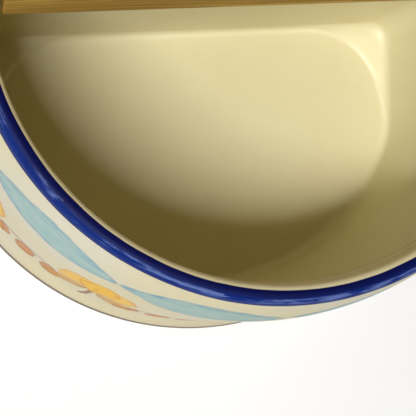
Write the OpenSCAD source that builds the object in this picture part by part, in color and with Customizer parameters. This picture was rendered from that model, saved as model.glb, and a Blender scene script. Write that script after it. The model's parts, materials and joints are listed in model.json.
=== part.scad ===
// Hanging salt box: a glazed crock with a flat back and a rounded front, and a hinged wooden lid.
// Millimetres. +Z is up, the front faces -Y, and the origin is the middle of the base.
// The lid is drawn open, leaning on the back plate.

/* [Crock] */
// Radius of the rounded front, at the outside of the rim
rim_r = 75; // [60:1:95]
// Length of the straight sides, from the flat back to the rounded front
side_len = 18.5; // [14:0.5:40]
// Height of the rim above the base
rim_h = 107; // [85:1:140]
// Thickness of the walls, the back plate and the hinge cheeks
wall = 5; // [4:0.5:7]
// How far the belly stands out past the rim
belly_out = 4; // [2:0.5:8]
// Height over which the shoulder draws in from the belly to the rim
shoulder_h = 33; // [20:1:45]
// How far the foot stands out past the belly
foot_out = 2.5; // [1:0.5:5]
// Height of the flare above the foot
foot_h = 14; // [8:1:20]
// Height of the upright edge of the foot
foot_edge = 3; // [1:0.5:5]
// Height of the floor above the base
floor_h = 8; // [5:0.5:12]
// Height of the bead along the inside of the rim
bead_h = 7.5; // [4:0.5:12]
// How far the bead's lower edge stands in past the rim
bead_in = 0.7; // [0.3:0.1:1.5]
// How far the inside of the walls draws in from the shoulder down to the floor
well_taper = 4; // [1:0.5:8]
// Fillet between the floor and the walls
floor_fillet = 5.5; // [3:0.5:18]
// Radius of the upright inside corners at the back
corner_r = 8; // [5:0.5:10]
// Width of the foot ring under the base
ring_w = 9; // [6:0.5:14]
// Depth of the hollow inside the foot ring
ring_depth = 1.5; // [0.5:0.5:3]

/* [Back plate] */
// Height of the arched back plate above the rim
plate_rise = 65; // [45:1:90]
// Radius of the hanging hole
hang_r = 4.5; // [3:0.25:6]
// Distance of the hanging hole's middle below the top of the plate
hang_drop = 17; // [12:0.5:24]

/* [Hinge] */
// Radius of the hinge pins
pin_r = 3; // [2:0.25:4]
// Gap all round a pin in its cheek
pin_clear = 0.3; // [0.1:0.05:0.5]
// How far a pin reaches into the lid
pin_depth = 20; // [12:1:30]
// How far a pin shows outside its cheek
pin_show = 1.5; // [0.5:0.25:3]
// Bevel at the ends of a pin
pin_bevel = 0.6; // [0.2:0.1:1]
// Glue gap all round a pin in the lid
glue_gap = 0.05; // [0.03:0.01:0.1]
// Cheek left in front of the pin's hole
cheek_land = 6.2; // [4:0.2:10]
// Height of the cheeks above the rim
cheek_rise = 17; // [14:0.5:24]
// Radius of the cheek's rounded top front corner
cheek_round = 8; // [5:0.5:10]

/* [Lid] */
// Thickness of the lid
lid_t = 12; // [8:0.5:14]
// How far the lid stands out past the rim at the front
lid_over = 3; // [1:0.5:8]
// Rounding of the lid's edges
lid_round = 3; // [1:0.5:3.5]
// Rounding of the lid's hinge edge
hinge_round = 2; // [1:0.5:4]
// Lid behind the pins
lid_tail = 7; // [5.5:0.5:9]
// Gap between the closed lid and the rim
lid_gap = 0.4; // [0.3:0.1:1]
// Gap between the closed lid and the back plate
tail_gap = 3.5; // [2:0.5:6]
// Gap between the lid and each cheek
side_gap = 1.3; // [0.8:0.1:3]
// Gap between the lid's notches and the foot of the cheeks
notch_gap = 2; // [1:0.5:4]
// Gap between the open lid and the top of the back plate
rest_gap = 0.4; // [0.3:0.1:1]

/* [Hidden] */
$fn = 96;
// Spare length on cutting shapes
over = 1;
belly_r = rim_r + belly_out;
foot_r = belly_r + foot_out;
// The part is centred front to back over its foot
back_y = (side_len + foot_r) / 2;
bow_y = back_y - side_len;
inner_r = rim_r - wall;
lip_r = wall / 2;
lip_z = rim_h - lip_r;
shoulder_z = lip_z - shoulder_h;
shoulder_r = (shoulder_h * shoulder_h + belly_out * belly_out) / (2 * belly_out);
flare_h = foot_h - foot_edge;
flare_r = (flare_h * flare_h + foot_out * foot_out) / (2 * foot_out);
plate_top = rim_h + plate_rise;
cheek_top = rim_h + cheek_rise;
arch_rise = plate_top - cheek_top;
arch_r = (rim_r * rim_r + arch_rise * arch_rise) / (2 * arch_rise);
sweep_r = cheek_rise - cheek_round;
pin_back = wall + tail_gap + lid_tail;
pin_y = back_y - pin_back;
pin_z = rim_h + lid_gap + lid_t / 2;
hole_r = pin_r + pin_clear;
cheek_len = pin_back + hole_r + cheek_land;
cheek_reach = cheek_len + sweep_r;
// Half the clear width between the cheeks, at their narrow front end
clear_half = sqrt(pow(inner_r, 2) - pow(max(0, cheek_reach - side_len), 2));
neck_half = clear_half - side_gap;
notch_y = back_y - cheek_reach - notch_gap;
lid_r = rim_r + lid_over;
pin_len = rim_r + pin_show - neck_half + pin_depth;
// The open lid leans back until its top face meets the top of the plate
lean_room = pin_back - wall - rest_gap;
lean_rise = plate_top - pin_z;
lean = acos(lid_t / 2 / norm([lean_room, lean_rise])) - atan2(lean_rise, lean_room);
open_angle = 90 + lean;
echo(back_y = back_y, pin_y = pin_y, pin_z = pin_z, open_angle = open_angle);

// Sweeps a profile, radius across and height up, round the front and back along the sides
module sweep_round() {
    translate([0, bow_y, 0])
        rotate([0, 0, 180])
            rotate_extrude(angle = 180)
                children();
    translate([0, back_y, 0])
        rotate([90, 0, 0])
            linear_extrude(side_len) {
                children();
                mirror([1, 0]) children();
            }
}

// Extrudes an outline drawn as depth across and height up, over the whole width
module across(half_width) {
    translate([-half_width, 0, 0])
        rotate([90, 0, 90])
            linear_extrude(2 * half_width)
                children();
}

// Wall profile from a height up to the lip, drawn inset by a distance and drawn in at its lower end
module belly_profile(inset, bottom, taper = 0) {
    polygon([
        [0, bottom],
        [belly_r - inset - taper, bottom],
        [belly_r - inset, shoulder_z],
        [0, shoulder_z],
    ]);
    intersection() {
        translate([0, shoulder_z]) square([belly_r - inset, shoulder_h]);
        translate([belly_r - inset - shoulder_r, shoulder_z]) circle(shoulder_r, $fn = 360);
    }
}

module foot_profile() {
    difference() {
        square([foot_r, foot_h]);
        translate([belly_r + flare_r, foot_h]) circle(flare_r);
        translate([belly_r + flare_r, foot_edge]) square([flare_r, foot_h]);
    }
}

// The rounded top of the wall
module lip_profile() {
    intersection() {
        translate([rim_r - lip_r, lip_z]) circle(lip_r);
        translate([0, lip_z]) square([rim_r + over, wall]);
    }
}

// Side view of a cheek: flat on top, rounded over and then swept down to the rim
module cheek_outline() {
    front = back_y - cheek_len;
    translate([front, lip_z]) square([cheek_len, cheek_top - cheek_round - lip_z]);
    translate([front + cheek_round, lip_z]) square([cheek_len - cheek_round, cheek_top - lip_z]);
    translate([front + cheek_round, cheek_top - cheek_round]) circle(cheek_round);
    difference() {
        translate([front - sweep_r, lip_z]) square([sweep_r, lip_r + sweep_r]);
        translate([front - sweep_r, rim_h + sweep_r]) circle(sweep_r);
    }
}

module cheeks() {
    intersection() {
        across(rim_r) cheek_outline();
        sweep_round()
            translate([0, lip_z]) square([rim_r, cheek_top - lip_z]);
    }
}

module back_plate() {
    translate([0, back_y, 0])
        rotate([90, 0, 0])
            linear_extrude(wall)
                intersection() {
                    translate([-rim_r, lip_z]) square([2 * rim_r, plate_top - lip_z]);
                    translate([0, plate_top - arch_r]) circle(arch_r, $fn = 360);
                }
}

// The bead inside the rim, with a sloping underside at 45 degrees
module bead_profile() {
    edge_r = inner_r - bead_in;
    edge_z = lip_z - bead_h;
    polygon([
        [inner_r, lip_z],
        [edge_r, edge_z],
        [belly_r, edge_z - (belly_r - edge_r)],
        [belly_r, lip_z],
    ]);
}

// Profile of the salt well, with the bead cut out of it and a fillet along the floor
module well_profile() {
    difference() {
        belly_profile(wall, floor_h + floor_fillet, well_taper);
        bead_profile();
    }
    translate([0, lip_z]) square([inner_r, cheek_rise + wall]);
    square_r = belly_r - wall - well_taper - floor_fillet;
    translate([0, floor_h]) square([square_r, floor_fillet]);
    intersection() {
        translate([square_r, floor_h + floor_fillet]) circle(floor_fillet);
        translate([square_r, floor_h]) square([floor_fillet, floor_fillet]);
    }
}

// Side view of the well's back, with the same fillet along the floor
module well_back_outline() {
    rear = back_y - wall;
    depth = side_len + foot_r;
    well_top = cheek_top + over;
    translate([rear - depth, floor_h + floor_fillet])
        square([depth, well_top - floor_h - floor_fillet]);
    translate([rear - depth, floor_h]) square([depth - floor_fillet, floor_fillet + over]);
    translate([rear - floor_fillet, floor_h + floor_fillet]) circle(floor_fillet);
}

// Plan of the well's two upright back corners
module well_plan() {
    rear = back_y - wall;
    half = belly_r - wall;
    depth = side_len + foot_r;
    translate([-half, rear - depth]) square([2 * half, depth - corner_r]);
    translate([-inner_r + corner_r, rear - depth]) square([2 * (inner_r - corner_r), depth]);
    for (side = [-1, 1])
        translate([side * (inner_r - corner_r), rear - corner_r]) circle(corner_r);
}

module well() {
    intersection() {
        sweep_round() well_profile();
        across(belly_r) well_back_outline();
        linear_extrude(cheek_top + over) well_plan();
    }
}

module foot_hollow() {
    hollow_r = foot_r - ring_w;
    intersection() {
        sweep_round()
            translate([0, -over]) square([hollow_r, ring_depth + over]);
        translate([-hollow_r, bow_y - hollow_r, -over])
            cube([2 * hollow_r, hollow_r + side_len - ring_w, ring_depth + over]);
    }
}

module crock() {
    color("#E8DEBE")
        difference() {
            union() {
                difference() {
                    union() {
                        sweep_round() foot_profile();
                        sweep_round() belly_profile(0, foot_edge);
                        cheeks();
                    }
                    well();
                }
                sweep_round() lip_profile();
                back_plate();
            }
            foot_hollow();
            translate([0, pin_y, pin_z])
                rotate([0, 90, 0])
                    cylinder(r = hole_r, h = 2 * (rim_r + over), center = true);
            translate([0, back_y, plate_top - hang_drop])
                rotate([90, 0, 0])
                    cylinder(r = hang_r, h = 2 * (wall + over), center = true);
        }
}

// Half of a board's edge profile, with both corners rounded
module board_profile(reach, rounding) {
    square([reach - rounding, lid_t]);
    translate([0, rounding]) square([reach, lid_t - 2 * rounding]);
    for (height = [rounding, lid_t - rounding])
        translate([reach - rounding, height]) circle(rounding);
}

module lid_closed() {
    neck_len = pin_y + lid_tail - notch_y;
    difference() {
        translate([0, 0, rim_h + lid_gap]) {
            intersection() {
                translate([0, bow_y, 0])
                    rotate([0, 0, 180])
                        rotate_extrude(angle = 180)
                            board_profile(lid_r, lid_round);
                translate([-lid_r - over, bow_y - lid_r - over, -over])
                    cube([2 * (lid_r + over), notch_y - bow_y + lid_r + over, lid_t + 2 * over]);
            }
            across(neck_half)
                translate([notch_y, 0]) board_profile(neck_len, hinge_round);
        }
        for (side = [-1, 1])
            translate([side * neck_half, pin_y, pin_z])
                rotate([0, 90, 0])
                    cylinder(r = pin_r + glue_gap, h = 2 * pin_depth, center = true);
    }
}

// A dowel from its end inside the lid outwards along +X
module pin_dowel() {
    rotate([0, 90, 0]) {
        cylinder(r1 = pin_r - pin_bevel, r2 = pin_r, h = pin_bevel);
        translate([0, 0, pin_bevel]) cylinder(r = pin_r, h = pin_len - 2 * pin_bevel);
        translate([0, 0, pin_len - pin_bevel])
            cylinder(r1 = pin_r, r2 = pin_r - pin_bevel, h = pin_bevel);
    }
}

// Turns a piece from the closed place to the open one, about the pins
module opened() {
    translate([0, pin_y, pin_z])
        rotate([-open_angle, 0, 0])
            translate([0, -pin_y, -pin_z])
                children();
}

module lid() {
    color("#8A6428")
        opened() lid_closed();
}

module hinge_pin_right() {
    color("#A8844C")
        opened()
            translate([neck_half - pin_depth, pin_y, pin_z]) pin_dowel();
}

module hinge_pin_left() {
    color("#A8844C")
        opened()
            mirror([1, 0, 0])
                translate([neck_half - pin_depth, pin_y, pin_z]) pin_dowel();
}

crock();
lid();
hinge_pin_left();
hinge_pin_right();
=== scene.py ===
import json
import math
from types import SimpleNamespace

import bmesh
import bpy
from mathutils import Euler, Matrix, Vector


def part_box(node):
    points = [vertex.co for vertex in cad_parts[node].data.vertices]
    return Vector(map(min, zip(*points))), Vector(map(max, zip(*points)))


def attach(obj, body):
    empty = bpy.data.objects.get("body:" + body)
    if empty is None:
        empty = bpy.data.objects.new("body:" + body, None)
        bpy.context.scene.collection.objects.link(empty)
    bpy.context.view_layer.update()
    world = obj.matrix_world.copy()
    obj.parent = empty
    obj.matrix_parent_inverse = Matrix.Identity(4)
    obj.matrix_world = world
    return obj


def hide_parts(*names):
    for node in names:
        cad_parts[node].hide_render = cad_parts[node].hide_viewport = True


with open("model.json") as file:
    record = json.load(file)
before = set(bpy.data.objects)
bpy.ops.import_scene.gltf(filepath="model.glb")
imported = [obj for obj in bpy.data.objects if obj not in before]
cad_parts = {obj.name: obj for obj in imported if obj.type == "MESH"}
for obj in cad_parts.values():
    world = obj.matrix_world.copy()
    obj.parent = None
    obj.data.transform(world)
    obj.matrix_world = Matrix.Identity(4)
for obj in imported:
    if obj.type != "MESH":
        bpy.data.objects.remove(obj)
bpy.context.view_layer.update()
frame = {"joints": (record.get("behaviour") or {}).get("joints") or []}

mm = 0.001
quarter = math.pi / 2
mergeWithin = 0.01 * mm  # points closer than this become one
hinge = frame["joints"][0]
hingeAt = Vector(hinge["pos_m"])
openTurn = math.radians(hinge["range_deg"][1])  # from closed to the open rest pose
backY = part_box("crock")[1].y
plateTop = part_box("crock")[1].z


# sums in node trees, written as sums
class Flow:
    def __init__(self, tree, socket):
        self.tree = tree
        self.socket = socket

    def calc(self, operation, *others, clamp=False):
        node = self.tree.nodes.new("ShaderNodeMath")
        node.operation = operation
        node.use_clamp = clamp
        for place, value in enumerate((self,) + others):
            feed(self.tree, node.inputs[place], value)
        return Flow(self.tree, node.outputs[0])

    def __add__(self, other):
        return self.calc("ADD", other)

    def __sub__(self, other):
        return self.calc("SUBTRACT", other)

    def __rsub__(self, other):
        return self.calc("MULTIPLY_ADD", -1.0, other)

    def __mul__(self, other):
        return self.calc("MULTIPLY", other)

    def __truediv__(self, other):
        return self.calc("DIVIDE", other)

    def __lt__(self, other):
        return self.calc("LESS_THAN", other)

    def __gt__(self, other):
        return self.calc("GREATER_THAN", other)

    __radd__ = __add__
    __rmul__ = __mul__


def feed(tree, socket, value):
    if isinstance(value, Flow):
        tree.links.new(value.socket, socket)
    else:
        socket.default_value = value


def sin(turn):
    return turn.calc("SINE") if isinstance(turn, Flow) else math.sin(turn)


def cos(turn):
    return turn.calc("COSINE") if isinstance(turn, Flow) else math.cos(turn)


def span(flow, start, length):  # 0 before start, 1 after start + length
    return (flow - start).calc("DIVIDE", length, clamp=True)


def smooth(flow, low, high):
    node = flow.tree.nodes.new("ShaderNodeMapRange")
    node.interpolation_type = "SMOOTHSTEP"
    feed(flow.tree, node.inputs["Value"], flow)
    feed(flow.tree, node.inputs["From Min"], low)
    feed(flow.tree, node.inputs["From Max"], high)
    return Flow(flow.tree, node.outputs["Result"])


def combine(tree, x, y, z):
    node = tree.nodes.new("ShaderNodeCombineXYZ")
    for socket, value in zip(node.inputs, (x, y, z)):
        feed(tree, socket, value)
    return node.outputs[0]


def separate(tree, socket):
    node = tree.nodes.new("ShaderNodeSeparateXYZ")
    tree.links.new(socket, node.inputs[0])
    return [Flow(tree, out) for out in node.outputs]


def pieceSpans(flow, counts):  # one 0 to 1 flow for each named run of rows or columns
    spans = {}
    start = 0
    for name, count in counts.items():
        spans[name] = span(flow, start, count)
        start += count
    return SimpleNamespace(**spans)


# geometry trees
def startTree(name, sizes):
    tree = bpy.data.node_groups.new(name, "GeometryNodeTree")
    tree.interface.new_socket("Geometry", in_out="OUTPUT", socket_type="NodeSocketGeometry")
    sockets = {}
    for size in sizes:
        sockets[size] = tree.interface.new_socket(size, in_out="INPUT", socket_type="NodeSocketFloat")
    groupIn = tree.nodes.new("NodeGroupInput")
    flows = {size: Flow(tree, groupIn.outputs[size]) for size in sizes}
    return tree, SimpleNamespace(**flows), {size: socket.identifier for size, socket in sockets.items()}


def addNode(tree, kind, geometry=None, **values):
    node = tree.nodes.new(kind)
    for name, value in values.items():
        setattr(node, name, value)
    if geometry is not None:
        tree.links.new(geometry, node.inputs[0])
    return node


def gridSheet(tree, columns, rows):  # a flat sheet whose place is counted in columns and rows
    grid = addNode(tree, "GeometryNodeMeshGrid")
    grid.inputs["Size X"].default_value = columns
    grid.inputs["Size Y"].default_value = rows
    grid.inputs["Vertices X"].default_value = columns + 1
    grid.inputs["Vertices Y"].default_value = rows + 1
    across, along, _ = separate(tree, addNode(tree, "GeometryNodeInputPosition").outputs[0])
    return grid.outputs["Mesh"], across, along + rows / 2


def movedTo(tree, sheet, x, y, z):
    node = addNode(tree, "GeometryNodeSetPosition", sheet)
    tree.links.new(combine(tree, x, y, z), node.inputs["Position"])
    return node.outputs[0]


def keepValue(tree, geometry, name, flow):
    node = addNode(tree, "GeometryNodeStoreNamedAttribute", geometry, data_type="FLOAT", domain="POINT")
    node.inputs["Name"].default_value = name
    tree.links.new(flow.socket, node.inputs["Value"])
    return node.outputs[0]


def keptValue(tree, name):
    value = addNode(tree, "GeometryNodeInputNamedAttribute", data_type="FLOAT")
    value.inputs["Name"].default_value = name
    return Flow(tree, value.outputs["Attribute"])


def nearestValue(tree, geometry, name):
    nearest = addNode(tree, "GeometryNodeSampleNearestSurface", geometry, data_type="FLOAT")
    feed(tree, nearest.inputs["Value"], keptValue(tree, name))
    return Flow(tree, nearest.outputs["Value"])


def mergedSheet(tree, geometry):  # closes the seam and the poles
    merged = addNode(tree, "GeometryNodeMergeByDistance", geometry)
    merged.inputs["Distance"].default_value = mergeWithin
    return merged.outputs[0]


def endTree(tree, geometry, material, coat=None, coated=None):  # coat lies where coated is 1
    realized = addNode(tree, "GeometryNodeRealizeInstances", geometry)
    finish = addNode(tree, "GeometryNodeSetMaterial", realized.outputs[0])
    finish.inputs["Material"].default_value = material
    if coat:
        finish = addNode(tree, "GeometryNodeSetMaterial", finish.outputs[0])
        finish.inputs["Material"].default_value = coat
        feed(tree, finish.inputs["Selection"], coated)
    out = tree.nodes.new("NodeGroupOutput")
    tree.links.new(finish.outputs[0], out.inputs[0])


def linked(name, data):  # a new object, in the scene
    made = bpy.data.objects.new(name, data)
    bpy.context.scene.collection.objects.link(made)
    return made


def meshFromTree(name, tree, ids, sizes, sharpAngle):
    piece = linked(name, bpy.data.meshes.new(name))
    modifier = piece.modifiers.new("shape", "NODES")
    modifier.node_group = tree
    for size, value in sizes.items():
        modifier[ids[size]] = value
    depsgraph = bpy.context.evaluated_depsgraph_get()
    made = bpy.data.meshes.new_from_object(
        piece.evaluated_get(depsgraph), preserve_all_data_layers=True, depsgraph=depsgraph)
    piece.modifiers.clear()
    piece.data = made
    faceOutwards(made, sharpAngle)
    print(name, "made with", len(made.polygons), "faces")
    return piece


def faceOutwards(mesh, sharpAngle):
    work = bmesh.new()
    work.from_mesh(mesh)
    bmesh.ops.recalc_face_normals(work, faces=work.faces)
    work.to_mesh(mesh)
    work.free()
    mesh.shade_smooth()
    mesh.set_sharp_from_angle(angle=math.radians(sharpAngle))


# material helpers
def paint(red, green, blue):  # a colour as seen on screen, 0 to 255, to the shader's own numbers
    def linear(part):
        part /= 255
        return part / 12.92 if part <= 0.04045 else ((part + 0.055) / 1.055) ** 2.4
    return (linear(red), linear(green), linear(blue), 1.0)


def startMaterial(name):
    material = bpy.data.materials.new(name)
    material.use_nodes = True
    tree = material.node_tree
    return material, tree, tree.nodes["Principled BSDF"]


def objectPlace(tree):
    return tree.nodes.new("ShaderNodeTexCoord").outputs["Object"]


def stored(tree, name):
    node = tree.nodes.new("ShaderNodeAttribute")
    node.attribute_name = name
    return Flow(tree, node.outputs["Fac"])


def noise(tree, place, scale, detail=3.0, roughness=0.5):
    node = tree.nodes.new("ShaderNodeTexNoise")
    tree.links.new(place, node.inputs["Vector"])
    node.inputs["Scale"].default_value = scale
    node.inputs["Detail"].default_value = detail
    node.inputs["Roughness"].default_value = roughness
    return Flow(tree, node.outputs["Fac"])


def stretched(tree, x, y, z, detail, roughness=0.5):  # noise with its own scale along each axis
    return noise(tree, combine(tree, x, y, z), 1.0, detail, roughness)


def chance(tree, flow):  # a steady random number for each whole number
    node = tree.nodes.new("ShaderNodeTexWhiteNoise")
    node.noise_dimensions = "1D"
    tree.links.new(flow.socket, node.inputs["W"])
    return Flow(tree, node.outputs["Value"])


mixFactor, mixBelow, mixAbove, mixResult = 0, 6, 7, 2  # sockets of a mix node that mixes colours


def over(tree, mask, below, above):  # lays one colour over another
    node = tree.nodes.new("ShaderNodeMix")
    node.data_type = "RGBA"
    feed(tree, node.inputs[mixFactor], mask)
    for place, colour in ((mixBelow, below), (mixAbove, above)):
        if isinstance(colour, bpy.types.NodeSocket):
            tree.links.new(colour, node.inputs[place])
        else:
            node.inputs[place].default_value = colour
    return node.outputs[mixResult]


def closeTo(flow, fade):  # 1 near 0, falling to 0 between the two distances in fade
    return 1 - smooth(flow.calc("ABSOLUTE"), *fade)


def addBump(tree, shader, height, distance, strength):
    node = tree.nodes.new("ShaderNodeBump")
    node.inputs["Strength"].default_value = strength
    node.inputs["Distance"].default_value = distance
    tree.links.new(height.socket, node.inputs["Height"])
    tree.links.new(node.outputs[0], shader.inputs["Normal"])


# crock
rimHeight = 107 * mm
crockSizes = {
    "rimRadius": 75 * mm,
    "sideLength": 18.5 * mm,
    "wall": 5 * mm,
    "rimHeight": rimHeight,
    "bellyOut": 4 * mm,
    "shoulderHeight": 33 * mm,
    "footOut": 2.5 * mm,
    "footHeight": 14 * mm,
    "footEdge": 3 * mm,
    "footRound": 1.2 * mm,
    "ringWidth": 9 * mm,
    "ringDepth": 1.5 * mm,
    "ringBevel": 1 * mm,
    "beadHeight": 7.5 * mm,  # bead along the inside of the rim
    "beadIn": 0.7 * mm,
    "beadDrop": 2 * mm,
    "wellTaper": 6 * mm,
    "backTaper": 1.7 * mm,
    "wellLean": 0.2,  # lean of the wall where it meets the floor's fillet
    "leanCurve": 1.9,  # how late the wall starts to lean on its way down
    "floorHeight": 8 * mm,
    "floorFillet": 3.2 * mm,
    "cornerOuter": 5 * mm,
    "cornerRim": 8 * mm,
    "cornerFloor": 26.5 * mm,
    "cornerWeb": 4 * mm,  # height over which the floor's wide corners narrow to the wall's
    "webLean": 1.0,
    "webCurve": 3.0,
    "sideIn": 2.9 * mm,  # how far the sides of the floor draw in towards the back
    "sideInStart": 4 * mm,
    "sideInEnd": 24 * mm,
    "plateRise": plateTop - rimHeight,
    "cheekRise": 17 * mm,
    "cheekTop": 17 * mm,  # from the back to where the cheek starts to fall
    "cheekReach": 34 * mm,  # from the back to where it meets the rim
    "liftStart": 85 * mm,  # height from which the walls stretch up into cheeks and plate
    "liftCurve": 2.0,
    "back": backY,
    "pinHole": 3.3 * mm,
    "pinEase": 0.6 * mm,
    "hangHole": 4.5 * mm,
    "hangEase": 1.4 * mm,
    "hangHeight": plateTop - 17 * mm,
    "cutShort": 0.04 * mm,  # so that no face of a hole's cutter lies in a face of the wall
}
crockColumns = {"front": 84, "side": 24, "corner": 14, "back": 46}  # for half of the way round
crockRows = {
    "under": 5, "hollow": 1, "ring": 3, "edge": 4, "upright": 2, "flare": 8, "belly": 22, "shoulder": 18,
    "lip": 16, "bead": 6, "beadUnder": 6, "innerShoulder": 16, "innerWall": 20, "web": 32, "fillet": 10,
    "floor": 12,
}


def crockTree(innerGlaze, outerGlaze):
    tree, size, ids = startTree("crockSweep", crockSizes)
    half = sum(crockColumns.values())
    sheet, across, along = gridSheet(tree, 2 * half, sum(crockRows.values()))
    column = pieceSpans(across.calc("ABSOLUTE"), crockColumns)
    row = pieceSpans(along, crockRows)
    bow = size.back - size.sideLength
    lipRadius = size.wall * 0.5
    lipHeight = size.rimHeight - lipRadius
    shoulderStart = lipHeight - size.shoulderHeight
    shoulderRadius = arcRadius(size.shoulderHeight, size.bellyOut)
    shoulderTurn = (size.shoulderHeight / shoulderRadius).calc("ARCSINE")
    beadTurn = ((size.shoulderHeight - size.beadHeight - size.beadDrop) / shoulderRadius).calc("ARCSINE")
    flareHeight = size.footHeight - size.footEdge
    flareRadius = arcRadius(flareHeight, size.footOut)
    flareTurn = (flareHeight / flareRadius).calc("ARCSINE")

    # profile, from the middle of the underside over the rim to the middle of the floor
    ringOut = (size.ringBevel * row.hollow
               + (size.ringWidth - size.ringBevel - size.footRound) * row.ring
               + size.footRound * sin(row.edge * quarter))
    flareBack = flareTurn * (1 - row.flare)
    innerBack = beadTurn * (1 - row.innerShoulder)
    beadOut = size.beadIn + shoulderRadius * (cos(beadTurn) - cos(shoulderTurn))
    lipIn = lipRadius * (1 - cos(row.lip * math.pi))
    filletStart = size.wellLean + (size.webLean - size.wellLean) * sin(column.corner * math.pi)
    filletTurn = filletStart + (quarter - filletStart) * row.fillet
    filletIn = size.floorFillet * (cos(filletStart) - cos(filletTurn))
    filletDown = size.floorFillet * (sin(filletTurn) - sin(filletStart))
    filletHigh = size.floorFillet * (1 - sin(filletStart))
    wallHigh = shoulderStart - size.floorHeight - filletHigh
    wallDown = (wallHigh - size.cornerWeb) * row.innerWall + size.cornerWeb * row.web
    lean = (wallDown / wallHigh).calc("POWER", size.leanCurve)
    radius = (size.rimRadius + size.bellyOut + size.footOut - size.ringWidth + ringOut
              - flareRadius * (cos(flareBack) - cos(flareTurn))
              - shoulderRadius * (1 - cos(shoulderTurn * row.shoulder))
              - lipIn
              - size.beadIn * row.bead + beadOut * smooth(row.beadUnder, 0.0, 1.0)
              + shoulderRadius * (cos(innerBack) - cos(beadTurn))
              - size.wellTaper * lean
              - filletIn)
    height = (size.ringDepth * (1 - row.hollow)
              + size.footRound * (1 - cos(row.edge * quarter))
              + (size.footEdge - size.footRound) * row.upright
              + flareRadius * (sin(flareTurn) - sin(flareBack))
              + (shoulderStart - size.footHeight) * row.belly
              + shoulderRadius * sin(shoulderTurn * row.shoulder)
              + lipRadius * sin(row.lip * math.pi)
              - size.beadHeight * row.bead - size.beadDrop * row.beadUnder
              - shoulderRadius * (sin(beadTurn) - sin(innerBack))
              - wallDown
              - filletDown)
    depth = size.sideLength - size.ringWidth + ringOut - lipIn - size.backTaper * lean - filletIn
    corner = (size.cornerOuter
              + (size.cornerRim - size.cornerOuter) * row.lip
              + (size.cornerFloor - size.cornerRim) * row.web.calc("POWER", size.webCurve)
              - filletIn)

    # plan: rounded front, straight side, back corner, flat back
    turn = ((depth - corner).calc("MINIMUM", 0.0) / (radius - corner)).calc("ARCSINE")
    frontTurn = (turn + quarter) * column.front - quarter
    cornerTurn = turn + (quarter - turn) * column.corner
    planY = (bow + radius * sin(frontTurn)
             + (depth - corner).calc("MAXIMUM", 0.0) * column.side
             + corner * (sin(cornerTurn) - sin(turn)))
    drawnIn = size.sideIn * smooth(planY, size.sideInStart, size.sideInEnd) * lean
    planX = (radius * cos(frontTurn)
             + corner * (cos(cornerTurn) - cos(turn))
             - (radius - corner) * cos(turn) * column.back) * (1 - drawnIn / radius)
    shrink = row.under * (1 - row.floor)

    # the rim sweeps up into the cheeks and the arched back plate
    rimX = (size.rimRadius * sin(column.front * quarter)
            - size.cornerOuter * (1 - cos(column.corner * quarter))
            - (size.rimRadius - size.cornerOuter) * column.back)
    rimY = (bow - size.rimRadius * cos(column.front * quarter)
            + (size.sideLength - size.cornerOuter) * column.side
            + size.cornerOuter * sin(column.corner * quarter))
    archRise = size.plateRise - size.cheekRise
    archRadius = arcRadius(size.rimRadius, archRise)
    archHigh = (archRadius * archRadius - rimX * rimX).calc("MAXIMUM", 0.0).calc("SQRT")
    arch = archRise - archRadius + archHigh
    cheek = size.cheekRise * smooth(rimY, size.back - size.cheekReach, size.back - size.cheekTop)
    lift = cheek + arch * (column.corner > 0.0)
    stretch = span(height, size.liftStart, lipHeight - size.liftStart).calc("POWER", size.liftCurve)
    rise = height + lift * stretch

    # distance over the lip, outside counted up, and distance round from the middle of the front
    lip = (lipRadius * (quarter - row.lip * math.pi)
           + (lipHeight + lift - rise).calc("MAXIMUM", 0.0) * (1 - row.lip * 2))
    side = across.calc("SIGN")
    bellyRadius = size.rimRadius + size.bellyOut
    away = (bellyRadius * quarter * column.front + size.sideLength * column.side
            + size.cornerOuter * column.corner + size.rimRadius * column.back)
    sheet = keepValue(tree, sheet, "lip", lip)
    sheet = keepValue(tree, sheet, "away", away)
    whole = mergedSheet(tree, movedTo(tree, sheet, side * planX * shrink, planY * shrink, rise))

    # the hinge holes and the hanging hole
    holed = addNode(tree, "GeometryNodeMeshBoolean", operation="DIFFERENCE", solver="MANIFOLD")
    tree.links.new(whole, holed.inputs["Mesh 1"])
    for cutter in crockHoles(tree, size):
        tree.links.new(cutter, holed.inputs["Mesh 2"])
    cut = mergedSheet(tree, holed.outputs["Mesh"])
    for name in ("lip", "away"):  # the edges of the holes read theirs from the uncut surface
        cut = keepValue(tree, cut, name, nearestValue(tree, whole, name))
    endTree(tree, cut, innerGlaze, outerGlaze, keptValue(tree, "lip") > glazeLook["outerFrom"])
    return tree, ids


def arcRadius(run, rise):  # radius of an arc that starts along its run and leaves it by the rise
    return (run * run + rise * rise) / (rise * 2)


boreColumns = 48
boreRows = {
    "startCap": 1, "startReach": 1, "startEase": 6, "bore": 1, "endEase": 6, "endReach": 1, "endCap": 1,
}


def boreCutter(tree, radius, ease, wall):  # a spool that cuts a hole with eased edges through a wall
    sheet, across, along = gridSheet(tree, boreColumns, sum(boreRows.values()))
    row = pieceSpans(along, boreRows)
    angle = across * (2 * math.pi / boreColumns)
    wide = ((radius + ease) * (row.startCap - row.endCap)
            - ease * sin(row.startEase * quarter)
            + ease * (1 - cos(row.endEase * quarter)))
    high = (wall * (row.startReach + row.bore + row.endReach - 1.5)
            + ease * (1 - cos(row.startEase * quarter) - row.bore * 2 + sin(row.endEase * quarter)))
    return mergedSheet(tree, movedTo(tree, sheet, wide * cos(angle), wide * sin(angle), high))


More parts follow.
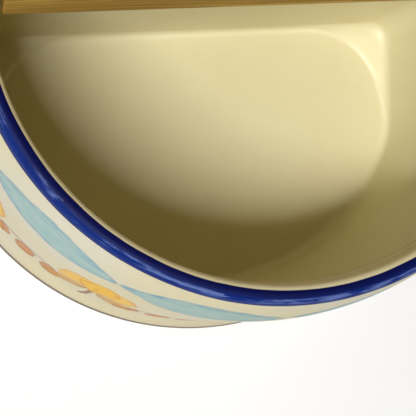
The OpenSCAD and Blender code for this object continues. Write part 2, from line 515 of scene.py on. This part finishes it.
def crockHoles(tree, size):
    middle = size.wall * 0.5
    cutWall = size.wall - size.cutShort
    hang = boreCutter(tree, size.hangHole, size.hangEase, cutWall)
    place = combine(tree, 0.0, size.back - middle, size.hangHeight)
    yield placed(tree, hang, Euler((quarter, 0, 0)), place)
    for side in (-1, 1):
        pin = boreCutter(tree, size.pinHole, size.pinEase, cutWall)
        place = combine(tree, (size.rimRadius + size.pinEase - middle) * side, hingeAt.y, hingeAt.z)
        yield placed(tree, pin, Euler((0, quarter, 0)), place)


def placed(tree, geometry, turn, place):
    node = addNode(tree, "GeometryNodeTransform", geometry)
    node.inputs["Rotation"].default_value = turn
    tree.links.new(place, node.inputs["Translation"])
    return node.outputs[0]


strokeLook = {
    "edge": (0.84, 1.0),  # where a stroke fades, with its outline counted as 1
    "pooled": (0.85, 1.25),
    "pooledWater": 0.5,
    "thinnest": 0.5,
    "thinWater": 0.6,
}
friezeLook = {
    "reach": (132 * mm, 134 * mm),  # painted from the middle of the front to here on each side
    "every": 44 * mm,  # one tulip and one spray of hips
    "waterScale": 190.0,
    "stray": 3.2 * mm,  # how far the brush strays
    "strayScales": (120.0, 140.0),
    "wash": paint(132, 182, 184),
    "washEdge": paint(64, 138, 174),
    "washHeight": 86 * mm,
    "washHalf": (23 * mm, 11 * mm),
    "washLean": 0.16,
    "washCover": 0.9,
    "dragScales": (30.0, 420.0),  # streaks of the brush in the washes
    "dragFrom": (0.55, 0.72),
    "dragReach": (0.6, 0.95),
    "dragCover": 0.5,
    "hip": paint(200, 116, 22),
    "hipDark": paint(154, 74, 12),
    "hipHeight": 27 * mm,
    "hipEvery": 9.5 * mm,
    "hipHalf": (4 * mm, 9 * mm),
    "hipsReach": (14.2 * mm, 14.6 * mm),  # room for three
    "twigBend": 60 * mm,
    "twigHalf": (0.4 * mm, 1.1 * mm),
    "twigReach": (10 * mm, 12 * mm),
    "twigCover": 0.8,
    "tulipsAside": 2,  # tulips on each side of the middle one
    "stem": paint(132, 84, 40),
    "stemFoot": (12 * mm, 13 * mm),
    "stemHalf": (0.5 * mm, 1.1 * mm),
    "stemCover": 0.85,
    "leaf": paint(204, 148, 52),
    "leafDark": paint(166, 98, 26),
    "leafHeight": 29 * mm,
    "leafHalf": (14 * mm, 4.6 * mm),
    "leafOut": 8 * mm,
    "leafLean": 0.5,
    "bud": paint(240, 186, 4),
    "budEdge": paint(212, 138, 2),
    "budHeight": 52 * mm,
    "budHalf": (18 * mm, 6.4 * mm),
    "budSpread": 5.2 * mm,
    "budLean": 0.26,
}


def repeated(flow, every, shift=0.0):  # distance from the nearest copy's middle, and that copy's number
    turns = (flow + shift) / every
    number = turns.calc("ROUND")
    return (turns - number) * every, number


def leaned(across, up, turn):
    return across * cos(turn) + up * sin(turn), up * cos(turn) - across * sin(turn)


def strokeReach(along, aside, half):  # 1 on the outline of a brush stroke with two points
    return aside.calc("ABSOLUTE") / half[1] + (along / half[0]) * (along / half[0])


def brushed(tree, colour, reach, water, inner, edge, mask):  # one stroke, its paint gathered at the edge
    look = strokeLook
    stroke = (1 - smooth(reach, *look["edge"])) * mask
    pooled = smooth(reach + water * look["pooledWater"], *look["pooled"])
    thin = (water * look["thinWater"] + look["thinnest"]).calc("MINIMUM", 1.0)
    return over(tree, stroke * thin, colour, over(tree, pooled, inner, edge))


def painted(tree, colour, around, rise):  # a frieze of washes, tulips and hips
    look = friezeLook
    flat = combine(tree, around, rise, 0.0)
    apart = combine(tree, around, rise, 4.0)  # the same place in another layer of the noise
    water = noise(tree, flat, look["waterScale"])
    across = around + (noise(tree, flat, look["strayScales"][0], detail=2.0) - 0.5) * look["stray"]
    up = rise + (noise(tree, apart, look["strayScales"][1], detail=2.0) - 0.5) * look["stray"]
    within = closeTo(around, look["reach"])

    # broad pale washes under the rim
    near, number = repeated(across, look["every"], look["every"] / 2)
    lean = (chance(tree, number) - 0.5) * look["washLean"]
    washX, washUp = leaned(near, up - look["washHeight"], lean)
    reach = strokeReach(washX, washUp, look["washHalf"])
    mask = within * look["washCover"]
    colour = brushed(tree, colour, reach, water, look["wash"], look["washEdge"], mask)
    alongScale, upScale = look["dragScales"]
    drag = stretched(tree, around * alongScale, rise * upScale, number, detail=3.0)
    dragged = (1 - smooth(reach, *look["dragReach"])) * smooth(drag, *look["dragFrom"])
    colour = over(tree, dragged * within * look["dragCover"], colour, look["washEdge"])

    # three hips on a bent twig below each wash
    low = up - look["hipHeight"] + near * near / look["twigBend"]
    twig = closeTo(low - look["hipHalf"][1], look["twigHalf"]) * closeTo(near, look["twigReach"])
    colour = over(tree, twig * within * look["twigCover"], colour, look["stem"])
    hipX = repeated(near, look["hipEvery"])[0] / look["hipHalf"][0]
    hipUp = low / look["hipHalf"][1]
    far = (hipX * hipX + hipUp * hipUp).calc("SQRT")
    mask = within * closeTo(near, look["hipsReach"])
    colour = brushed(tree, colour, far, water, look["hip"], look["hipDark"], mask)

    # tulips between them: stem, two leaves and three petals
    near, number = repeated(across, look["every"])
    within = within * (number.calc("ABSOLUTE") < look["tulipsAside"] + 0.5)
    stem = closeTo(near, look["stemHalf"]) * smooth(up, *look["stemFoot"]) * (up < look["budHeight"])
    colour = over(tree, stem * within * look["stemCover"], colour, look["stem"])
    for side in (-1, 1):
        aside = near - side * look["leafOut"]
        leafX, leafUp = leaned(aside, up - look["leafHeight"], side * look["leafLean"])
        reach = strokeReach(leafUp, leafX, look["leafHalf"])
        colour = brushed(tree, colour, reach, water, look["leaf"], look["leafDark"], within)
    for side in (-1, 1, 0):
        aside = near - side * look["budSpread"]
        petalX, petalUp = leaned(aside, up - look["budHeight"], side * look["budLean"])
        reach = strokeReach(petalUp, petalX, look["budHalf"])
        colour = brushed(tree, colour, reach, water, look["bud"], look["budEdge"], within)
    return colour


bandLook = {
    "dark": paint(0, 8, 70),
    "blue": paint(4, 34, 110),
    "soft": paint(16, 56, 134),
    # pale lilac: thin paint, and a painted highlight where it lies along the crest
    "thin": paint(96, 114, 172),
    "inside": -1.15 * mm,  # edges of the band over the lip, from its crest
    "insideFade": (-0.1 * mm, 0.1 * mm),
    "insideWander": 0.5 * mm,
    "insidePressed": 0.5 * mm,
    "outside": 4.3 * mm,
    "outsideFade": (-0.12 * mm, 0.15 * mm),
    "outsideWander": 1.1 * mm,
    "outsidePressed": 0.9 * mm,
    "pressed": (-115 * mm, -35 * mm),  # the brush was pressed harder on the left
    "endsMeet": (185 * mm, 215 * mm),  # the edges run even there, so that the ends meet behind
    "strokeEvery": 47 * mm,  # length of one stroke of the brush
    "strokeJag": 16 * mm,
    "hairScales": (12.0, 1300.0),  # noise, in cells to the metre along the band and across it
    "streakScales": (34.0, 1500.0),
    "patchScales": (130.0, 450.0),
    "insideScale": 55.0,
    "outsideScale": 38.0,
    "blueFrom": (1.5 * mm, 3.2 * mm),
    "blueStreak": 3 * mm,
    "softFrom": (0.42, 0.62),
    "softBelow": 1.2 * mm,
    "softCover": 0.5,
    "dry": (-75 * mm, -25 * mm),  # thinner and lower from there on, as the brush ran dry
    "dryLower": 0.5 * mm,
    "thinAndSheenShares": {"streak": 0.55, "patch": 0.5, "worn": 0.06, "load": 0.06, "dry": 0.03},
    "thinAndSheenFrom": (0.56, 0.67),
    "thinAndSheenStart": (0.3 * mm, 0.9 * mm),
    "thinAndSheenEnd": (1.5 * mm, 2.6 * mm),
    "thinCover": 0.85,
    "pooled": (0.15 * mm, 0.6 * mm),  # from the outside edge
    "pooledCover": 0.8,
}


def rimBand(tree, colour, lip, around):  # brushed on in strokes, dark at its edges, thin in streaks, with a painted highlight in the thin patches along the crest
    look = bandLook

    def brushNoise(scales, layer, detail, roughness=0.5):
        return stretched(tree, around * scales[0], lip * scales[1], layer, detail, roughness)

    hairs = brushNoise(look["hairScales"], 9.0, detail=2.0) - 0.5
    near, number = repeated(around + hairs * look["strokeJag"], look["strokeEvery"])
    worn = near / look["strokeEvery"] + 0.5  # from the start of a stroke to its end
    load = chance(tree, number)
    streak = brushNoise(look["streakScales"], number * 5.0, detail=4.0, roughness=0.65)
    patch = brushNoise(look["patchScales"], 3.0, detail=3.0)

    # edges of the band
    inWander = stretched(tree, around * look["insideScale"], 0.0, 0.0, detail=2.0) - 0.5
    outWander = stretched(tree, around * look["outsideScale"], 7.0, 0.0, detail=2.0) - 0.5
    pressed = 1 - smooth(around, *look["pressed"])
    loose = closeTo(around, look["endsMeet"])
    inStray = inWander * look["insideWander"] + pressed * look["insidePressed"]
    outStray = outWander * look["outsideWander"] + pressed * look["outsidePressed"]
    inEdge = lip - look["inside"] + inStray * loose
    outEdge = look["outside"] - lip + outStray * loose
    band = smooth(inEdge, *look["insideFade"]) * smooth(outEdge, *look["outsideFade"])

    # blues of the band
    # dark navy from the inner edge over the crest, lighter blue further out: partly the paint's own
    # shades, partly painted shade on the inner side, which is turned from the light
    lighter = smooth(lip + streak * look["blueStreak"], *look["blueFrom"])
    blue = over(tree, lighter, look["dark"], look["blue"])
    soft = smooth(streak, *look["softFrom"]) * (lip > look["softBelow"])
    blue = over(tree, soft * look["softCover"], blue, look["soft"])
    dry = smooth(around, *look["dry"])
    ridge = lip - dry * look["dryLower"]
    # pale lilac patches on the outer side of the crest: thin paint, and a painted highlight where the
    # lamp's highlight falls
    crest = smooth(ridge, *look["thinAndSheenStart"]) * (1 - smooth(ridge, *look["thinAndSheenEnd"]))
    shares = look["thinAndSheenShares"]
    thin = (streak * shares["streak"] + patch * shares["patch"] + worn * shares["worn"]
            + load * shares["load"] + dry * shares["dry"])
    blue = over(tree, smooth(thin, *look["thinAndSheenFrom"]) * crest * look["thinCover"], blue, look["thin"])
    pooled = 1 - smooth(outEdge, *look["pooled"])
    blue = over(tree, pooled * look["pooledCover"], blue, look["dark"])
    return over(tree, band, colour, blue), band, streak


glazeLook = {
    "inside": paint(222, 213, 172),
    "outside": paint(222, 212, 176),
    "outsideFrom": (-3 * mm, 3 * mm),  # over the lip, counted from its crest
    "slowScale": 22.0,  # noise, in cells to the metre
    "fineScale": 260.0,
    "milky": paint(218, 213, 194),  # where the glaze lies thicker on the outside
    "milkyScale": 30.0,
    "milkyFrom": (0.42, 0.66),
    "milkyCover": 0.8,
    "warm": paint(212, 197, 150),
    "warmGrain": 0.25,
    "warmFrom": (0.5, 0.95),
    "warmCover": 0.4,
    "speck": paint(140, 110, 72),
    "speckScale": 620.0,
    "speckFrom": (0.76, 0.80),
    "speckCover": 0.25,
    "filletHighlight": paint(250, 243, 206),  # painted highlight where the lamp's light shows on the floor's back and right edge
    "highlightLow": (0 * mm, 0.5 * mm),  # heights above the floor
    "highlightHigh": (0.6 * mm, 1.6 * mm),
    "highlightBack": (-5 * mm, 20 * mm),
    "highlightRight": (-55 * mm, -10 * mm),
    "highlightCover": 0.4,
    "beadDark": paint(128, 102, 52),  # darker brown lines along the bead inside the rim
    "beadLines": (  # place below the lip, half width and cover
        (crockSizes["beadHeight"], 0.8 * mm, 0.85),
        (3 * mm, 1.1 * mm, 0.3),
    ),
    "beadCore": 0.2,  # share of the half width that is full
    "beadUneven": (0.25, 0.5),
    "beadClimb": (99 * mm, 108 * mm),  # the lines fade over these heights, where the bead climbs
    "clay": paint(200, 180, 148),
    "footFrom": 60 * mm,  # over the lip, from where the foot's marks may show
    "bareTop": (0.9 * mm, 1.1 * mm),  # height of the unglazed edge
    "bareWander": 0.4 * mm,
    "footDarkTop": (3 * mm, 14 * mm),  # heights over which the colour turns darker and warmer towards the foot
    "footDarkWander": 8 * mm,
    "thinCover": 0.5,
    "footLine": paint(92, 86, 80),
    "lineHeight": 2.4 * mm,
    "lineHalf": (1.1 * mm, 1.9 * mm),
    "lineCover": 0.85,
    "slowRough": 0.1,
    "bareRough": 0.4,
    "slowBump": 0.6,
    "fineBump": 0.06,
    "bandBump": 0.5,
    "bumpHeight": 0.5 * mm,
    "bumpStrength": 0.5,
    "outerFrom": -1.6 * mm,  # over the lip, from where the painted outer glaze starts
    "inner": {"roughness": 0.38, "shine": 0.5},
    "outer": {"roughness": 0.5, "shine": 0.12},
}


def glazeMaterial(name, finish):
    material, tree, shader = startMaterial(name)
    look = glazeLook
    place = objectPlace(tree)
    x, y, rise = separate(tree, place)
    lip = stored(tree, "lip")
    around = stored(tree, "away") * x.calc("SIGN")
    slow = noise(tree, place, look["slowScale"])
    fine = noise(tree, place, look["fineScale"], detail=4.0)
    outside = smooth(lip, *look["outsideFrom"])

    # cream glaze with its tints
    milky = smooth(noise(tree, place, look["milkyScale"], detail=2.0), *look["milkyFrom"])
    pale = over(tree, milky * look["milkyCover"], look["outside"], look["milky"])
    glaze = over(tree, outside, look["inside"], pale)
    warm = smooth(slow + fine * look["warmGrain"], *look["warmFrom"])
    glaze = over(tree, warm * look["warmCover"], glaze, look["warm"])
    specks = smooth(noise(tree, place, look["speckScale"], detail=1.0), *look["speckFrom"])
    glaze = over(tree, specks * outside * look["speckCover"], glaze, look["speck"])
    # painted highlight: a paler band on the fillet along the floor's back edge, kept to the right, where
    # the lamp lights it
    up = rise - crockSizes["floorHeight"]
    filletHighlight = smooth(up, *look["highlightLow"]) * (1 - smooth(up, *look["highlightHigh"])) * (1 - outside)
    filletHighlight = filletHighlight * smooth(y, *look["highlightBack"]) * smooth(x, *look["highlightRight"])
    glaze = over(tree, filletHighlight * look["highlightCover"], glaze, look["filletHighlight"])
    down = -crockSizes["wall"] * quarter / 2 - lip  # below the inside end of the lip's rounding
    uneven = smooth(slow, *look["beadUneven"]) * (1 - smooth(rise, *look["beadClimb"]))
    # darker brown lines along the bead, uneven, fading where the bead climbs
    for edge, half, cover in look["beadLines"]:
        beadMark = closeTo(down - edge, (half * look["beadCore"], half))
        glaze = over(tree, beadMark * uneven * cover, glaze, look["beadDark"])
    glaze = over(tree, outside, glaze, painted(tree, glaze, around, rise))
    colour, band, streak = rimBand(tree, glaze, lip, around)

    # bare clay under the foot, a grey line just above it, and colour darker and warmer towards the foot
    foot = lip > look["footFrom"]
    bare = (1 - smooth(rise + fine * look["bareWander"], *look["bareTop"])) * foot
    line = closeTo(rise - look["lineHeight"], look["lineHalf"]) * foot
    # darker and warmer towards the foot
    thin = (1 - smooth(rise + slow * look["footDarkWander"], *look["footDarkTop"])) * foot
    colour = over(tree, thin * look["thinCover"], colour, look["clay"])
    colour = over(tree, line * look["lineCover"], colour, look["footLine"])
    colour = over(tree, bare, colour, look["clay"])

    tree.links.new(colour, shader.inputs["Base Color"])
    rough = finish["roughness"] + slow * look["slowRough"] + bare * look["bareRough"]
    tree.links.new(rough.socket, shader.inputs["Roughness"])
    shader.inputs["Specular IOR Level"].default_value = finish["shine"]
    bump = slow * look["slowBump"] + fine * look["fineBump"] + band * streak * look["bandBump"]
    addBump(tree, shader, bump, look["bumpHeight"], look["bumpStrength"])
    return material


def makeCrock():
    glazes = [glazeMaterial(side + "Glaze", glazeLook[side]) for side in ("inner", "outer")]
    tree, ids = crockTree(*glazes)
    crock = meshFromTree("glazedCrock", tree, ids, crockSizes, sharpAngle=42)
    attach(crock, "crock")
    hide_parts("crock")


# lid
lidSizes = {
    "thickness": 12 * mm,
    "frontRadius": 78 * mm,
    "neckHalf": 67 * mm,
    "notch": 36 * mm,  # from the back to the notches round the cheeks
    "tail": 7 * mm,  # board behind the pins
    "frontEdge": 3 * mm,  # rounding of the edges of the front
    "hingeEdge": 0.7 * mm,  # and of the neck
    "tipRound": 3.5 * mm,
    "notchRound": 2.5 * mm,
    "tailRound": 1.4 * mm,
    "edgeBorder": 0.3 * mm,  # flat strip inside the rounded edges
    "edgeSteps": 6,
    "frontSteps": 90,
    "roundSteps": 6,
}


def roundedCorner(before, at, after, radius, steps):
    inward = (before - at).normalized()
    outward = (after - at).normalized()
    halfAngle = inward.angle(outward) / 2
    middle = at + (inward + outward).normalized() * (radius / math.sin(halfAngle))
    start = at + inward * (radius / math.tan(halfAngle))
    end = at + outward * (radius / math.tan(halfAngle))
    first = start - middle
    sweep = first.angle_signed(end - middle)
    return [middle + Matrix.Rotation(-sweep * step / steps, 2) @ first for step in range(steps + 1)]


def lidOutline():  # points round the board, each with the rounding of its edges
    size = lidSizes
    bowY = backY - crockSizes["sideLength"]
    notchY = backY - size["notch"]
    tailY = hingeAt.y + size["tail"]
    tipX = math.sqrt(size["frontRadius"] ** 2 - (bowY - notchY) ** 2)
    tipTurn = math.asin((bowY - notchY) / size["frontRadius"])
    clear = math.asin(2 * size["tipRound"] / size["frontRadius"])  # ends the arc before the tip's rounding
    front = []
    for step in range(size["frontSteps"] + 1):
        turn = -tipTurn - clear - (math.pi - 2 * tipTurn - 2 * clear) * step / size["frontSteps"]
        front.append(Vector((math.cos(turn), math.sin(turn))) * size["frontRadius"] + Vector((0, bowY)))
    rightTip = Vector((tipX, notchY))
    rightNotch = Vector((size["neckHalf"], notchY))
    rightTail = Vector((size["neckHalf"], tailY))
    mirrored = Vector((-1, 1))
    leftTip, leftNotch, leftTail = (point * mirrored for point in (rightTip, rightNotch, rightTail))
    corners = [
        (front[-1], leftTip, leftNotch, "tipRound", "frontEdge"),
        (leftTip, leftNotch, leftTail, "notchRound", "hingeEdge"),
        (leftNotch, leftTail, rightTail, "tailRound", "hingeEdge"),
        (leftTail, rightTail, rightNotch, "tailRound", "hingeEdge"),
        (rightTail, rightNotch, rightTip, "notchRound", "hingeEdge"),
        (rightNotch, rightTip, front[0], "tipRound", "frontEdge"),
    ]
    outline = [(point, size["frontEdge"]) for point in front]
    for before, at, after, radius, edge in corners:
        for point in roundedCorner(before, at, after, size[radius], size["roundSteps"]):
            outline.append((point, size[edge]))
    return outline


def boardMesh(outline, low, thickness):
    work = bmesh.new()
    steps = lidSizes["edgeSteps"]
    turns = [quarter * step / steps for step in range(steps + 1)]
    rings = []
    count = len(outline)
    for place, (point, edge) in enumerate(outline):
        along = outline[(place + 1) % count][0] - outline[place - 1][0]
        inward = Vector((along.y, -along.x)).normalized()
        section = [(edge + lidSizes["edgeBorder"], 0)]
        section += [(edge * (1 - math.sin(turn)), edge * (1 - math.cos(turn))) for turn in turns]
        section += [(inset, thickness - high) for inset, high in reversed(section)]
        rings.append([])
        for inset, high in section:
            at = point + inward * inset
            rings[-1].append(work.verts.new((at.x, at.y, low + high)))
    for place in range(count):
        here, there = rings[place - 1], rings[place]
        for row in range(len(here) - 1):
            work.faces.new((here[row], there[row], there[row + 1], here[row + 1]))
    work.faces.new([ring[0] for ring in rings])
    work.faces.new([ring[-1] for ring in rings])
    return work


woodLook = {
    "pale": paint(226, 190, 96),
    "middle": paint(198, 158, 66),
    "dark": paint(124, 84, 24),
    "pore": paint(100, 66, 18),
    "ringsPerMetre": 760.0,
    "heartDepth": 26 * mm,  # heart of the tree below the middle of the board
    "heartShift": -18 * mm,
    "heartBend": (16 * mm, 10 * mm),  # across the board and through it
    "bendScales": (5.0, 9.0),  # noise, in cells to the metre along the board and across it
    "ringTremble": 2.2,
    "trembleScales": (22.0, 260.0),
    "lateFrom": (0.25, 0.9),  # share of a ring
    "lateEnd": (0.92, 1.0),
    "lateCover": 0.7,
    "patchScale": 11.0,
    "patchFrom": (0.3, 0.7),
    "patchCover": 0.55,
    "darkerLeft": (-75 * mm, 0 * mm),  # darker towards the left end
    "darkerLeftShare": 0.12,
    "stainScales": (13.0, 40.0),
    "stainFrom": (0.45, 0.7),
    "stainCover": 0.5,
    "fibreScales": (30.0, 2600.0),
    "fibreFrom": (0.45, 0.8),
    "fibreCover": 0.4,
    "poreScales": (60.0, 1500.0),
    "poreFrom": (0.62, 0.74),
    "poreCover": 0.45,
    "roughness": 0.55,
    "fibreRough": 0.2,
    "shine": 0.3,
    "fibreBump": 0.5,
    "lateBump": 0.3,
    "bumpHeight": 0.12 * mm,
    "bumpStrength": 0.4,
}


def woodMaterial(name, look, turn, middle):
    material, tree, shader = startMaterial(name)
    mapping = tree.nodes.new("ShaderNodeMapping")
    tree.links.new(objectPlace(tree), mapping.inputs["Vector"])
    turned = Matrix.Rotation(turn, 3, "X")
    mapping.inputs["Rotation"].default_value = (turn, 0, 0)
    mapping.inputs["Location"].default_value = -(turned @ middle)
    place = mapping.outputs[0]
    x, y, z = separate(tree, place)

    def grain(scales, detail, roughness=0.5):
        along, aside = scales
        return stretched(tree, x * along, y * aside, z * aside, detail, roughness)

    # growth rings round a heart that runs along the board, bent a little on the way
    bend = grain(look["bendScales"], detail=2.0) - 0.5
    tremble = grain(look["trembleScales"], detail=3.0) - 0.5
    outY = y - look["heartShift"] + bend * look["heartBend"][0]
    outZ = z + look["heartDepth"] + bend * look["heartBend"][1]
    heart = (outY * outY + outZ * outZ).calc("SQRT")
    part = (heart * look["ringsPerMetre"] + tremble * look["ringTremble"]).calc("FRACT")
    late = smooth(part, *look["lateFrom"]) * (1 - smooth(part, *look["lateEnd"]))
    fibre = grain(look["fibreScales"], detail=4.0, roughness=0.65)
    pores = smooth(grain(look["poreScales"], detail=2.0), *look["poreFrom"])
    patch = smooth(noise(tree, place, look["patchScale"], detail=2.0), *look["patchFrom"])
    # darker towards the left end of the board
    darkerLeft = 1 - smooth(x, *look["darkerLeft"])
    stain = grain(look["stainScales"], detail=3.0) + darkerLeft * look["darkerLeftShare"]
    stain = smooth(stain, *look["stainFrom"])

    colour = over(tree, late * look["lateCover"], look["pale"], look["dark"])
    colour = over(tree, patch * look["patchCover"], colour, look["middle"])
    colour = over(tree, stain * look["stainCover"], colour, look["dark"])
    colour = over(tree, smooth(fibre, *look["fibreFrom"]) * look["fibreCover"], colour, look["dark"])
    colour = over(tree, pores * look["poreCover"], colour, look["pore"])
    tree.links.new(colour, shader.inputs["Base Color"])
    rough = look["roughness"] + fibre * look["fibreRough"]
    tree.links.new(rough.socket, shader.inputs["Roughness"])
    shader.inputs["Specular IOR Level"].default_value = look["shine"]
    bump = fibre * look["fibreBump"] - pores - late * look["lateBump"]
    addBump(tree, shader, bump, look["bumpHeight"], look["bumpStrength"])
    return material


def makeLid():
    size = lidSizes
    work = boardMesh(lidOutline(), hingeAt.z - size["thickness"] / 2, size["thickness"])
    opened = (Matrix.Translation(hingeAt) @ Matrix.Rotation(-openTurn, 4, "X")
              @ Matrix.Translation(-hingeAt))
    bmesh.ops.transform(work, matrix=opened, verts=work.verts)
    mesh = bpy.data.meshes.new("woodLid")
    work.to_mesh(mesh)
    work.free()
    mesh.materials.append(woodMaterial("lidWood", woodLook, openTurn, hingeAt))
    faceOutwards(mesh, sharpAngle=40)
    lid = linked("woodLid", mesh)
    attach(lid, "lid")
    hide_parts("lid")
    print("lid made with", len(mesh.polygons), "faces")


# hinge pins
pinSizes = {
    "pinRadius": 3 * mm,
    "pinEdge": 0.8 * mm,
    "innerEnd": 47 * mm,
    "outerEnd": 76.5 * mm,
    "side": 1.0,
}
pinColumns = 40
pinRows = {"innerCap": 3, "innerEdge": 5, "length": 30, "outerEdge": 5, "outerCap": 3}
pinLook = dict(woodLook, pale=paint(176, 142, 82), middle=paint(158, 122, 64), ringsPerMetre=900.0,
               heartDepth=9 * mm, heartShift=4 * mm)


def pinTree(material):
    tree, size, ids = startTree("dowelTurn", pinSizes)
    sheet, across, along = gridSheet(tree, pinColumns, sum(pinRows.values()))
    row = pieceSpans(along, pinRows)
    angle = across * (2 * math.pi / pinColumns)
    radius = ((size.pinRadius - size.pinEdge) * row.innerCap
              + size.pinEdge * sin(row.innerEdge * quarter)
              - size.pinEdge * (1 - cos(row.outerEdge * quarter))
              - (size.pinRadius - size.pinEdge) * row.outerCap)
    reach = (size.innerEnd
             + size.pinEdge * (1 - cos(row.innerEdge * quarter))
             + (size.outerEnd - size.innerEnd - size.pinEdge * 2) * row.length
             + size.pinEdge * sin(row.outerEdge * quarter))
    turnedY = radius * cos(angle) + hingeAt.y
    turnedZ = radius * sin(angle) + hingeAt.z
    turned = movedTo(tree, sheet, reach * size.side, turnedY, turnedZ)
    endTree(tree, mergedSheet(tree, turned), material)
    return tree, ids


def makePins():
    tree, ids = pinTree(woodMaterial("pinWood", pinLook, openTurn, hingeAt))
    for name, side in (("left", -1.0), ("right", 1.0)):
        pin = meshFromTree("dowel_" + name, tree, ids, dict(pinSizes, side=side), sharpAngle=60)
        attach(pin, "lid")
        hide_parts("hinge_pin_" + name)


# floor, light and camera
stageLook = {
    "floorColour": (0.9, 0.9, 0.9, 1.0),
    "floorGlow": 0.12,  # for the camera alone, so that the floor reads as white
    "floorRoughness": 0.9,
    "floorSize": 3.0,
    "fillAbove": 0.01,
    "fillAside": 0.4,
    "fillFade": (0.1, 0.5),  # from the horizon, 0, to overhead, 1
    "keyStart": Vector((-20, -22.5, 100)),  # directions from the rim to the ends of a strip lamp
    "keyEnd": Vector((-61, -47.5, 100)),
    "keyDistance": 1.2,
    "keyDeep": 0.045,
    "keyPower": 14.7,
    "cameraAt": Vector((-92.6, -36.9, 392.6)) * mm,
    "cameraTurn": (4.697, -13.329, -5.180),
    "lens": 109.74,
    "sensor": 36,
    "nearest": 10 * mm,
}


def makeFloor():
    half = stageLook["floorSize"] / 2
    mesh = bpy.data.meshes.new("floor")
    corners = [(x * half, y * half, 0) for x, y in ((-1, -1), (1, -1), (1, 1), (-1, 1))]
    mesh.from_pydata(corners, [], [(0, 1, 2, 3)])
    floor = linked("floor", mesh)
    material, tree, shader = startMaterial("paleFloor")
    shader.inputs["Base Color"].default_value = stageLook["floorColour"]
    shader.inputs["Roughness"].default_value = stageLook["floorRoughness"]
    shader.inputs["Emission Color"].default_value = (1, 1, 1, 1)
    tree.links.new((seenRay(tree) * stageLook["floorGlow"]).socket, shader.inputs["Emission Strength"])
    mesh.materials.append(material)


def seenRay(tree):  # 1 for rays that show the background, straight or in a reflection
    rays = tree.nodes.new("ShaderNodeLightPath")
    seen = Flow(tree, rays.outputs["Is Camera Ray"]) + Flow(tree, rays.outputs["Is Glossy Ray"])
    return (seen + Flow(tree, rays.outputs["Is Transmission Ray"])).calc("MINIMUM", 1.0)


def makeWorld():  # white round the horizon, dim overhead, so that the well keeps its own shade
    world = bpy.data.worlds.new("studio")
    world.use_nodes = True
    bpy.context.scene.world = world
    tree = world.node_tree
    background = tree.nodes["Background"]
    background.inputs["Color"].default_value = (1, 1, 1, 1)
    sky = separate(tree, tree.nodes.new("ShaderNodeTexCoord").outputs["Generated"])
    aside = closeTo(sky[2], stageLook["fillFade"])
    fill = aside * (stageLook["fillAside"] - stageLook["fillAbove"]) + stageLook["fillAbove"]
    shown = aside * (1 - stageLook["fillAbove"]) + stageLook["fillAbove"]
    seen = seenRay(tree)
    tree.links.new((fill + (shown - fill) * seen).socket, background.inputs["Strength"])


def makeKey():
    look = stageLook
    rim = Vector((0, 0, crockSizes["rimHeight"]))
    start, end = (rim + look[name].normalized() * look["keyDistance"] for name in ("keyStart", "keyEnd"))
    lamp = bpy.data.lights.new("key", "AREA")
    lamp.shape = "RECTANGLE"
    lamp.size = (end - start).length
    lamp.size_y = look["keyDeep"]
    lamp.energy = look["keyPower"]
    key = linked("key", lamp)
    along = (end - start).normalized()
    middle = (start + end) / 2
    toKey = (middle - rim).normalized()
    turned = Matrix((along, toKey.cross(along), toKey)).transposed()
    key.location = middle
    key.rotation_euler = turned.to_euler()


def makeCamera():
    look = stageLook
    camera = linked("camera", bpy.data.cameras.new("camera"))
    camera.location = look["cameraAt"]
    camera.rotation_euler = [math.radians(turn) for turn in look["cameraTurn"]]
    camera.data.lens = look["lens"]
    camera.data.sensor_width = look["sensor"]
    camera.data.clip_start = look["nearest"]
    bpy.context.scene.camera = camera
    bpy.context.scene.view_settings.view_transform = "Standard"


makeFloor()
makeWorld()
makeKey()
makeCamera()
print("floor, light and camera set")
makeCrock()
makeLid()
makePins()
